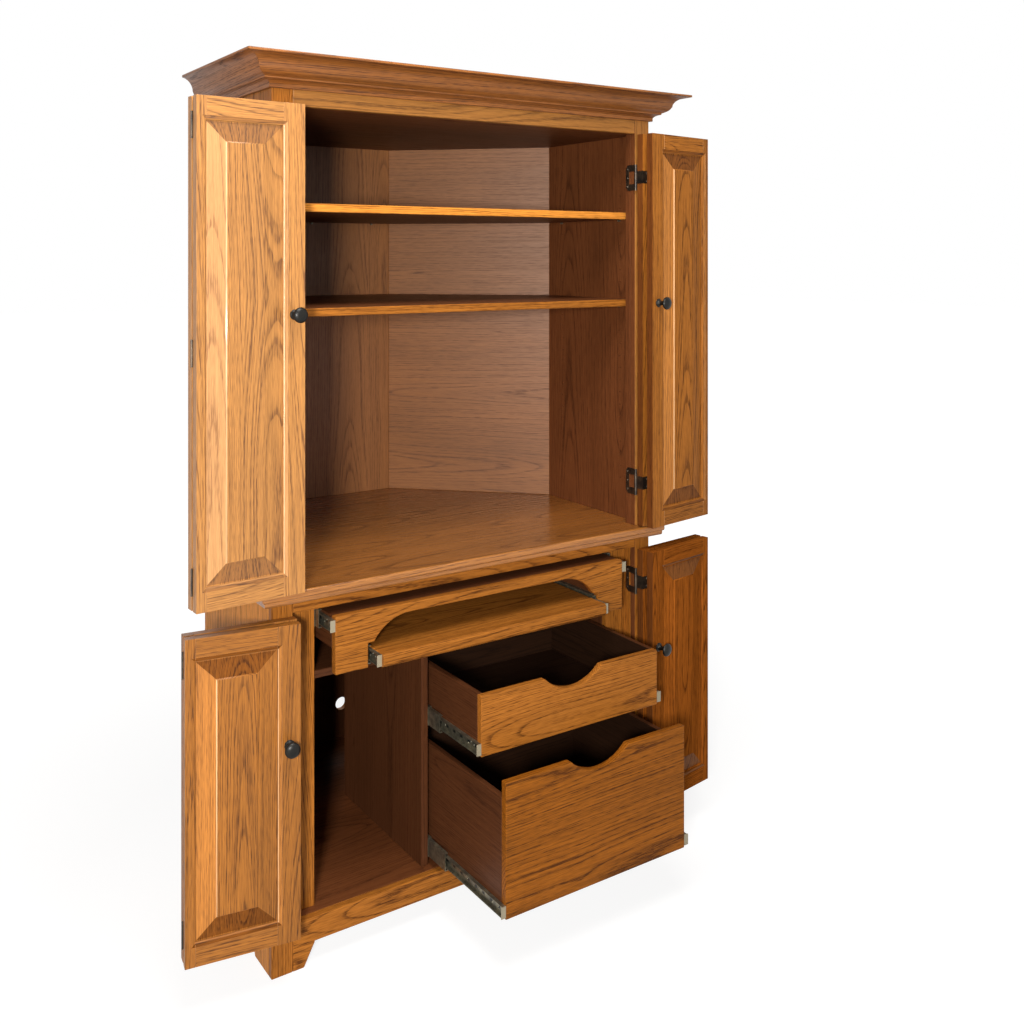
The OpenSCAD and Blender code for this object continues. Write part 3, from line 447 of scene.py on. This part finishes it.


# Desk top: one thick slab glued up from strips, with a rounded upper edge and a stepped lower
# edge, in a glossier finish than the rest. Its top face is painted darker than its edges, as
# painted shade.

glossy = stained_oak("desk top oak", (0.44, 0.170, 0.034), (0.13, 0.042, 0.008),
                     rough=0.2, coat=0.35, shine=0.4)
# A darker copy of the desk top's wood, painted shade on the top face only
painted_shade_top = stained_oak("desk surface oak", (0.38, 0.140, 0.028), (0.105, 0.034, 0.008),
                      rough=0.18, coat=0.4, shine=0.4)
paint(boards("desk_top", glossy, ease=0.005, steps=4, smooth=34), painted_shade_top,
              facing(z=1, least=0.99))


# Hutch face frame: stiles and a top rail behind the crown, with cleats behind the stiles
# that carry the door hinges.

rail = stained_oak("top rail oak", (0.42, 0.172, 0.034), (0.12, 0.044, 0.008), shine=0.3)
rail_from, stile_from = 1.9, 0.494
# The top rail and the right stile have the paler wood
hutch_frame = paint(boards("hutch_face_frame", honey, ease=0.002), rail,
                    lambda at, way: at.z > rail_from or at.x > stile_from)
paint(hutch_frame, inner, right_reveal)
boards("hutch_cleats", inner)


# Hutch case: sides bored for the shelf pins, corner walls with level grain, an upright back
# and the ceiling. Veneered boards, honey outside and darker inside, like the base.

paint(boards("hutch_sides", inner, run="up", ease=0.0012), honey,
              lambda at, way: way.x * at.x > 0.45)
wall = stained_oak("corner wall oak", (0.31, 0.125, 0.040), (0.125, 0.044, 0.013),
                   shine=0.5, **veneer)
paint(boards("hutch_corner_walls", wall, run="level"), honey, facing(y=1, least=0.3))
paint(boards("hutch_back", wall, run="up", ease=0.001), honey, facing(y=1))
boards("hutch_ceiling", inner, run="level")


# Crown: three lengths of cove moulding, mitred at the front corners and nailed to the
# face frame and the sides.

crown_oak = stained_oak("crown oak", (0.33, 0.115, 0.022), (0.075, 0.022, 0.005),
                        contrast=1.1, shine=0.4)
boards("crown", crown_oak, ease=0.0012, smooth=34)


# Shelves: two loose boards of solid oak that rest on steel pins. Their front edges are painted
# lighter than the rest, a painted highlight where the eased edges catch the light, and the rest
# is as dark as the sides.

# The front edges get the lighter wood as a painted highlight
for node, wood in (("upper_shelf", painted_light_side), ("lower_shelf", honey)):
    paint(boards(node, wood, ease=0.002), inner, lambda at, way: way.y > -0.4)


# Slides: nested steel channels, zinc plated with a yellow tint, on the sides of the
# drawers, of the pull-out and of the tray. The shelf pins have the same finish.


def covered(tree, mask, colour, metallic, cover):
    """The colour and the metallic value with a dull cover laid over them where the mask is 1."""
    bare = calc(tree, "SUBTRACT", 1.0, mask)
    return mixed_colour(tree, mask, colour, (*cover, 1)), calc(tree, "MULTIPLY", bare, metallic)


def metal(name, base, tint, metallic, rough, coat=0.0, scale=60.0, member=None):
    """A metal with clouds in a second tint. A slide's member, given by its front end and the
    height of its web, has a cream end and a row of stamped slots, which are painted near black
    as painted shade instead of holes."""
    made = bpy.data.materials.new(name)
    made.use_nodes = True
    tree = made.node_tree
    tree.nodes.clear()
    place = add(tree, "ShaderNodeTexCoord").outputs["Object"]
    mark = noise(tree, scaled(tree, place, 1, 0.06, 1), scale * 14, 3.0, 0.6)
    cloud = mapped(tree, noise(tree, place, scale, 4.0, 0.6), 0.4, 0.68)
    colour = mixed_colour(tree, cloud, (*base, 1), (*tint, 1))
    if member:
        front, web = member
        cap, pitch, half_height, half_share = 0.0016, 0.032, 0.003, 0.16
        at = add(tree, "ShaderNodeSeparateXYZ", {0: place}).outputs
        end = calc(tree, "LESS_THAN", at[1], front + cap)
        colour, metallic = covered(tree, end, colour, metallic, (0.30, 0.26, 0.18))
        # The stamped slots are painted near black and not metallic, a painted shade for the dark
        # behind holes
        off = calc(tree, "ABSOLUTE", calc(tree, "SUBTRACT", at[2], web))
        along = calc(tree, "FRACT", calc(tree, "DIVIDE", at[1], pitch))
        along = calc(tree, "ABSOLUTE", calc(tree, "SUBTRACT", along, 0.5))
        slot = calc(tree, "MULTIPLY", calc(tree, "LESS_THAN", off, half_height),
                    calc(tree, "LESS_THAN", along, half_share))
        colour, metallic = covered(tree, slot, colour, metallic, (0.008, 0.008, 0.006))
    bump = add(tree, "ShaderNodeBump", {"Strength": 0.12, "Distance": 0.0002, "Height": mark})
    skin = add(tree, "ShaderNodeBsdfPrincipled", {
        "Base Color": colour, "Metallic": metallic, "Coat Weight": coat, "Coat Roughness": 0.2,
        "Roughness": calc(tree, "MULTIPLY_ADD", mark, 0.25, rough), "Normal": bump.outputs[0]})
    add(tree, "ShaderNodeOutputMaterial", {"Surface": skin.outputs[0]})
    return made


def clad(ob, made):
    for place in ob.material_slots:
        place.material = made


def web_of(node):
    """The front end of a slide's members and the height of their webs."""
    low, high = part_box(node)
    # The pull-out's node reaches further down, because it also holds the tray's channels
    return low.y, 0.766 if node == "pull_out_members" else (low.z + high.z) / 2


plating = ((0.17, 0.16, 0.125), (0.36, 0.33, 0.23), 0.85, 0.28)
zinc = metal("yellow zinc", *plating)
for node, ob in frame["nodes"].items():
    if node in ("shelf_pins", "cabinet_slides") or node.endswith("_middle"):
        clad(ob, zinc)
    if node.endswith("_members"):
        clad(ob, metal("zinc " + node, *plating, member=web_of(node)))


# Drawers: solid oak fronts with finger scoops, and darker sides, backs and bottoms, whose faces
# inside the boxes are painted near black as painted shade. The file drawer's sides stop below
# its front.

boards("upper_drawer_front", honey, ease=0.002, smooth=24)
# A near-black copy of the stain, painted shade on the faces inside the boxes
painted_shade_inside = stained_oak("drawer inside, painted shade", (0.028, 0.012, 0.006), (0.012, 0.005, 0.0025), **veneer)
rim = 0.009  # reaches past the upper edges of the sides, which stay lighter
for node in ("upper_drawer_box", "file_drawer_box"):
    low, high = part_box(node)
    paint(boards(node, dark), painted_shade_inside,
                  lambda at, way: low.x + rim < at.x < high.x - rim)
wide = stained_oak("wide honey oak", (0.35, 0.110, 0.008), (0.075, 0.021, 0.002),
                   contrast=1.2, ring=0.0065, strips=0.34)
boards("file_drawer_front", wide, ease=0.002, smooth=24)


# Keyboard pull-out and tray: an apron with a scrolled arch over a board on hangers, and a
# tray with a rounded nosing that slides between the hangers.

boards("pull_out_apron", honey, ease=0.0025, smooth=24)
boards("pull_out_frame", dark)
boards("keyboard_tray", honey, ease=0.0015, smooth=24)


# Doors: eight leaves, each a grooved frame of two stiles and two rails round a loose
# raised panel, which is glued up from flat-sawn boards. Cut ends take more of the stain.

# The side of the case, 1 for left, then how far the pair is open and folded, in degrees
doors = {"upper_left": (1, 176, 179), "upper_right": (-1, 187, 178),
         "lower_left": (1, 187, 178), "lower_right": (-1, 187, 178)}
# The hinge axes of the closed left pair, from the case's front, and that front, in mm
frame_pin, fold_pin, case_front = (-494.5, -5.0, 0.0), (-248.0, 23.0, 0.0), 270.5


def swung(point, pair, leaf, turn_only=False):
    """A point or direction of the closed left pair, in mm, where it is on the open pair."""
    side, opened, folded = doors[pair]
    p = Vector(point)
    for angle, pin, moves in ((folded, fold_pin, leaf == "b"), (-opened, frame_pin, leaf != "")):
        if moves:
            c = Vector((0, 0, 0)) if turn_only else Vector(pin)
            p = c + Matrix.Rotation(math.radians(angle), 3, "Z") @ (p - c)
    p.x *= side
    return p if turn_only else Vector((p.x, p.y - case_front, p.z)) / 1000.0


# Lit and shaded copies of one honey stain, one for each pair of doors: the upper left pair is
# painted light, paler and glossier, the lower left a little darker, the lower right painted shade,
# darker and redder, and the upper right keeps the plain honey.
bright_fine = {"contrast": 1.1, "ring": 0.0039}
sheen = {"coat": 0.15, "shine": 0.5}
painted_lit = stained_oak("bright honey oak", (0.53, 0.235, 0.058), (0.14, 0.050, 0.011),
                     **bright_fine, **sheen)
lower_left_light = stained_oak("warm honey oak", (0.40, 0.148, 0.023), (0.095, 0.030, 0.005),
                   shine=0.3, **fine)
painted_shade = stained_oak("deep honey oak", (0.37, 0.105, 0.013), (0.080, 0.021, 0.004),
                   shine=0.0, **fine)
# A darker, redder copy: painted shade on the near leaf edges of the right pairs
painted_shade_edge = stained_oak("reddish oak", (0.16, 0.048, 0.010), (0.050, 0.014, 0.003), strips=0.03)
# End grain for the panels' upper and lower bevels, darker with the stain; the second is the upper
# left pair's painted-light copy.
honey_end = stained_oak("honey end grain", (0.24, 0.077, 0.010), (0.055, 0.016, 0.003), **fine)
painted_lit_end = stained_oak("bright end grain", (0.35, 0.142, 0.032), (0.085, 0.030, 0.007),
                         **bright_fine, **sheen)
# Paler woods for the panels' left bevels and for the steps round their fields: painted highlights
# where these faces lean towards the lamp light from the left.
honey_lit_cut = stained_oak("honey bevel, painted light", (0.56, 0.215, 0.040), (0.16, 0.052, 0.010), shine=0.3)
painted_lit_cut = stained_oak("bright bevel", (0.62, 0.310, 0.115), (0.27, 0.115, 0.034), **sheen)
painted_step_light = stained_oak("field step, painted highlight", (0.74, 0.42, 0.20), (0.50, 0.24, 0.09), **sheen)
# How far the panel's bevels lean, as the sine, and the depth of the painted-shade edges, in metres
least_lean, most_lean, edge_depth = 0.06, 0.35, 0.014
for pair in doors:
    # Each pair takes its painted-light or painted-shade copy of the stain
    wood = {"upper_left": painted_lit, "lower_left": lower_left_light, "lower_right": painted_shade}.get(pair, honey)
    end, cut = (painted_lit_end, painted_lit_cut) if pair == "upper_left" else (honey_end, honey_lit_cut)
    for leaf in "ab":
        node = f"{pair}_leaf_{leaf}"
        across = swung((1, 0, 0), pair, leaf, True)
        across *= math.copysign(1, across.x)
        near_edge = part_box(node)[0].x + edge_depth
        door = boards(node, wood, ease=0.0012, smooth=34, field=0.0024)
        # The panel's upper and lower bevels take the end grain. Its left bevels, then the step
        # beside those, are painted paler, as painted highlights where they lean towards the lamp
        # light.
        paint(door, end, lambda at, way: least_lean < abs(way.z) < most_lean)
        if pair != "lower_right":
            paint(door, cut, lambda at, way: (
                least_lean < -way.dot(across) < most_lean and abs(way.z) < 0.05))
            paint(door, painted_step_light,
                  lambda at, way: -0.9 < way.dot(across) < -0.5 and abs(way.y) < 0.85)
        if "right" in pair:
            # The right pairs show the near edges of their leaves,
            # painted darker and redder as painted shade
            paint(door, painted_shade_edge, lambda at, way: way.dot(across) < -0.9 and at.x < near_edge)


# Door hinges: dark bronze plates and knuckles, with pan-head screws. The frame hinges sit
# on the inner edges of the stiles, and the fold hinges join the two leaves of a pair.

bronze = metal("dark bronze", (0.045, 0.036, 0.030), (0.13, 0.092, 0.06), 0.85, 0.26,
               coat=0.35, scale=45.0)
for node, ob in frame["nodes"].items():
    if "hinge" in node:
        clad(ob, bronze)

# A screw head is a low dome with a cross cut into it, set on each seat to face its own way
heads = bpy.data.node_groups.new("screw heads", "GeometryNodeTree")
for name, kind in (("Seats", "Geometry"), ("Head Radius", "Float"), ("Head Height", "Float"),
                   ("Finish", "Material")):
    heads.interface.new_socket(name, in_out="INPUT", socket_type="NodeSocket" + kind)
heads.interface.new_socket("Screws", in_out="OUTPUT", socket_type="NodeSocketGeometry")
put = add(heads, "NodeGroupInput").outputs
radius, height = put["Head Radius"], put["Head Height"]
dome = add(heads, "GeometryNodeMeshCone", {
    "Vertices": 20, "Radius Top": calc(heads, "MULTIPLY", radius, 0.62),
    "Radius Bottom": radius, "Depth": height})
cross = add(heads, "GeometryNodeMeshBoolean", {"Mesh 1": dome.outputs["Mesh"]},
            operation="DIFFERENCE")
long_side, short_side = (calc(heads, "MULTIPLY", radius, share) for share in (1.05, 0.26))
lift = add(heads, "ShaderNodeCombineXYZ", {2: calc(heads, "MULTIPLY", height, 1.1)}).outputs[0]
for a, b in ((long_side, short_side), (short_side, long_side)):
    size = add(heads, "ShaderNodeCombineXYZ", {0: a, 1: b, 2: height}).outputs[0]
    bar = add(heads, "GeometryNodeMeshCube", {"Size": size}).outputs["Mesh"]
    bar = add(heads, "GeometryNodeTransform", {"Geometry": bar, "Translation": lift}).outputs[0]
    heads.links.new(bar, cross.inputs["Mesh 2"])
faced = add(heads, "GeometryNodeInputNamedAttribute", {"Name": "facing"},
            data_type="FLOAT_VECTOR").outputs["Attribute"]
aim = add(heads, "FunctionNodeAlignRotationToVector", {"Vector": faced}, axis="Z").outputs[0]
many = add(heads, "GeometryNodeInstanceOnPoints", {
    "Points": put["Seats"], "Instance": cross.outputs["Mesh"], "Rotation": aim})
real = add(heads, "GeometryNodeRealizeInstances", {0: many.outputs[0]})
done = add(heads, "GeometryNodeSetMaterial", {
    "Geometry": real.outputs[0], "Material": put["Finish"]})
add(heads, "NodeGroupOutput", {"Screws": done.outputs[0]})


def screws(name, body, seats, finish, radius):
    """Screw heads at the given seats, each a place and the way it faces."""
    points = bpy.data.meshes.new(name + " seats")
    points.from_pydata([tuple(p) for p, d in seats], [], [])
    points.attributes.new("facing", "FLOAT_VECTOR", "POINT").data.foreach_set(
        "vector", [c for p, d in seats for c in d])
    ob = show(name + " seats", points)
    maker = ob.modifiers.new("screw heads", "NODES")
    maker.node_group = heads
    keys = {s.name: s.identifier for s in heads.interface.items_tree if s.in_out == "INPUT"}
    maker[keys["Head Radius"]] = radius
    maker[keys["Head Height"]] = 0.0011
    maker[keys["Finish"]] = finish
    bpy.context.view_layer.update()
    made = bpy.data.meshes.new_from_object(
        ob.evaluated_get(bpy.context.evaluated_depsgraph_get()))
    bpy.data.objects.remove(ob)
    made.name = name
    piece = show(name, made)
    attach(piece, body)
    return piece


def seat(point, out, pair, leaf=""):
    """A screw's seat on the closed left pair, in mm, and the way out of it, on the open pair."""
    return swung(point, pair, leaf), swung(out, pair, leaf, True)


# Where the screws of the plates stand on the closed left pair, in mm across and in depth
frame_plate, leaf_plate, fold_plates = (-494.8, 30), (-478, 21.2), {"a": -256.5, "b": -239.5}
fold_from_end = 60
frame_seats = []
for pair in doors:
    upper = pair.startswith("upper")
    # The ends of the leaves, and how far from them the frame hinges are
    low, high, from_end = (859.0, 1923.0, 117.0) if upper else (109.0, 794.0, 88.0)
    folds = [low + fold_from_end, high - fold_from_end]
    if upper:
        folds.insert(1, (low + high) / 2)
    seats = {"a": [], "b": []}
    for z in (low + from_end, high - from_end):
        for dz in (-24, 0, 24):
            frame_seats.append(seat((*frame_plate, z + dz), (1, 0, 0), pair))
        for dz in (-10, 10):
            seats["a"].append(seat((*leaf_plate, z + dz), (0, 1, 0), pair, "a"))
    for z in folds:
        for dz in (-20, 0, 20):
            for leaf, x in fold_plates.items():
                seats[leaf].append(seat((x, leaf_plate[1], z + dz), (0, 1, 0), pair, leaf))
    for leaf in "ab":
        screws(f"{pair}_{leaf}_hinge_screws", f"{pair}_door_{leaf}", seats[leaf], bronze,
                       0.0028)
screws("frame_hinge_screws", "cabinet", frame_seats, bronze, 0.003)


# Slide screws: zinc pan heads that hold the members to the drawers, the pull-out and the
# tray, near the front where they show when a drawer is out.

# The left and the right web of each body's members
webs = {"upper_drawer": (-0.1175, 0.4155), "file_drawer": (-0.1175, 0.4155),
        "pull_out": (-0.4155, 0.4155), "tray": (-0.3208, 0.3208)}
for body, (left, right) in webs.items():
    front, web = web_of(body + "_members")
    seats = [(Vector((x, front + y, web + dz)), Vector((out, 0, 0)))
             for x, out in ((left, -1), (right, 1))
             for y, dz in ((0.030, 0), (0.042, 0.004), (0.054, -0.003), (0.16, 0))]
    screws(body + "_slide_screws", body, seats, zinc, 0.0024)


# Knobs: turned mushroom knobs in dark bronze, one on the outer stile of each second leaf,
# screwed from behind.


def curve_through(points, steps):
    """A smooth line through the points, with the given number of steps from each to the next."""
    ends = [points[0], *points, points[-1]]
    for a, b, c, d in zip(ends, ends[1:], ends[2:], ends[3:]):
        for k in range(steps):
            t = k / steps
            yield tuple(0.5 * (2 * q + (r - p) * t + (2 * p - 5 * q + 4 * r - s) * t * t
                               + (3 * q - p - 3 * r + s) * t ** 3)
                        for p, q, r, s in zip(a, b, c, d))
    yield points[-1]


worn = metal("worn bronze", (0.004, 0.0045, 0.004), (0.012, 0.010, 0.007), 0.5, 0.24, scale=30.0)
knob_r, knob_out, sides = 0.017, 0.037, 40
up = Vector((0, 0, 1))
# Shares of the knob's radius and of its length: foot, neck, then the mushroom head
profile = [(knob_r * a, knob_out * h) for a, h in (
    (0.68, 0), (0.67, 0.05), (0.5, 0.12), (0.36, 0.24), (0.32, 0.42), (0.4, 0.56), (0.68, 0.66),
    (0.95, 0.72), (1, 0.77), (0.95, 0.84), (0.76, 0.92), (0.43, 0.98), (0, 1))]
turning = list(curve_through(profile, 4))[:-1]
for pair in doors:
    # In mm on the closed left pair, at the middle of the outer stile
    height = 1465.0 if pair.startswith("upper") else 535.0
    foot = swung((-28, 0, height), pair, "b")
    out = swung((0, -1, 0), pair, "b", True)
    side = out.cross(up)
    bm = bmesh.new()
    rings = [[bm.verts.new(foot + out * h + (side * math.cos(t) + up * math.sin(t)) * a)
              for t in (2 * math.pi * k / sides for k in range(sides))] for a, h in turning]
    tip = bm.verts.new(foot + out * knob_out)
    bm.faces.new(rings[0])
    for one, two in zip(rings, rings[1:]):
        for k in range(sides):
            bm.faces.new((one[k], one[k - 1], two[k - 1], two[k]))
    for k in range(sides):
        bm.faces.new((rings[-1][k], rings[-1][k - 1], tip))
    bmesh.ops.recalc_face_normals(bm, faces=bm.faces[:])
    mesh = bpy.data.meshes.new(pair + "_turned_knob")
    bm.to_mesh(mesh)
    bm.free()
    mesh.shade_smooth()
    mesh.set_sharp_from_angle(angle=math.radians(40))
    mesh.materials.append(worn)
    knob = show(pair + "_turned_knob", mesh)
    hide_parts(pair + "_knob")
    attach(knob, pair + "_door_b")
